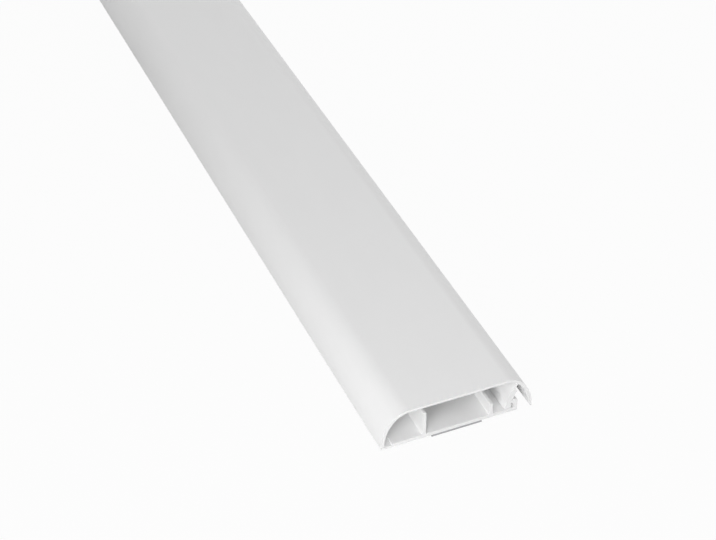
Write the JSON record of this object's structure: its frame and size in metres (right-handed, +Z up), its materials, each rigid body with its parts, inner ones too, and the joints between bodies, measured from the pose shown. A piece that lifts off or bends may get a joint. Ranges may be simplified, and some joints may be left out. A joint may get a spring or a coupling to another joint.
{
  "type": "cord cover raceway",
  "caption": "Low white plastic raceway with a hinged snap-shut cover, divider ribs and an adhesive tape back, for hiding cords along a wall.",
  "frame": {"origin": "middle of the release liner's underside, halfway along the stock", "axes": "+Y along the stock, +Z up through the cover, -X towards the hinged edge"},
  "size_m": [0.07, 0.762, 0.0188],
  "materials": {
    "white_pvc": "satin extruded PVC",
    "hinge_vinyl": "soft vinyl film",
    "grey_foam": "closed-cell foam",
    "grey_liner": "coated release paper"
  },
  "bodies": {
    "base": {"base": "white_pvc", "hinge_strip": "hinge_vinyl", "foam_tape": "grey_foam", "release_liner": "grey_liner"},
    "cover": {"cover": "white_pvc"}
  },
  "joints": [
    {"name": "cover_hinge", "type": "hinge", "parent": "base", "child": "cover", "pos_m": [-0.03444, 0, 0.00156], "axis": [0, -1, 0], "range_deg": [0, 105], "deforming": ["hinge_strip"]}
  ]
}
